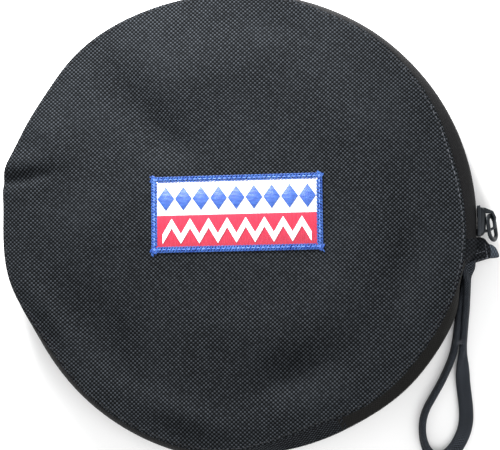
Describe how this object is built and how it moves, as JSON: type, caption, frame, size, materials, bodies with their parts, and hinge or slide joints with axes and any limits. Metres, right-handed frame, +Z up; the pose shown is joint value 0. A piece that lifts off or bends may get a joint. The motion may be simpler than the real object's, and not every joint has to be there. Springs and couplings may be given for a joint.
{
  "type": "round zipped fabric pouch",
  "caption": "Flat round pouch of coarse black woven fabric with a side zip that opens most of the way round, a plain woven label and a wrist strap.",
  "frame": {"origin": "middle of the back panel's underside, which the pouch lies on", "axes": "+Z up through the front panel, +X towards the closed end of the zip, +Y towards the top edge of the label"},
  "size_m": [0.2088, 0.2, 0.0249],
  "materials": {
    "ballistic_fabric": "coated polyester, coarse plain weave of doubled yarns",
    "zip_tape": "fine woven polyester tape",
    "zip_coil": "satin nylon coil",
    "smooth_webbing": "fine ribbed webbing",
    "binding_tape": "soft knitted binding",
    "black_thread": "twisted polyester thread",
    "label_blue": "merrowed border yarn",
    "label_white": "satin woven ground",
    "label_red": "satin woven ground",
    "label_thread": "twisted thread",
    "painted_zinc": "worn satin enamel on die-cast zinc",
    "strap_tape": "flat braided cord with a centre groove"
  },
  "bodies": {
    "base": {"front_panel_heel": "ballistic_fabric", "back_panel": "ballistic_fabric", "zip_tape_front_ends": "zip_tape", "zip_tape_back": "zip_tape", "zip_coil_front_ends": "zip_coil", "zip_coil_back": "zip_coil", "spine_webbing": "smooth_webbing", "spine_patch": "ballistic_fabric", "zip_end_tab": "ballistic_fabric", "zip_end_patch": "ballistic_fabric", "seam_binding_front_heel": "binding_tape", "seam_binding_back": "binding_tape", "front_topstitch_heel": "black_thread", "back_topstitch": "black_thread", "tab_stitching": "black_thread", "wrist_strap": "strap_tape", "strap_bartack": "black_thread"},
    "cover": {"front_panel": "ballistic_fabric", "zip_tape_front": "zip_tape", "zip_coil_front": "zip_coil", "seam_binding_front": "binding_tape", "front_topstitch": "black_thread", "label_border": "label_blue", "label_upper_field": "label_white", "label_lower_field": "label_red", "label_stitching": "label_thread"},
    "slider": {"slider_body": "painted_zinc", "slider_bail": "painted_zinc"},
    "puller": {"puller": "painted_zinc"}
  },
  "joints": [
    {"name": "slider_travel", "type": "hinge", "parent": "base", "child": "slider", "pos_m": [0, 0, 0.012], "axis": [0, 0, 1], "range_deg": [0, 250]},
    {"name": "puller_swing", "type": "hinge", "parent": "slider", "child": "puller", "pos_m": [0.10455, 0.0016, 0.012], "axis": [-0.309, 0, 0.9511], "range_deg": [0, 160]},
    {"name": "cover_fold", "type": "hinge", "parent": "base", "child": "cover", "pos_m": [0.02684, -0.03979, 0.024], "axis": [0.829, 0.5592, 0], "range_deg": [0, 100]}
  ]
}
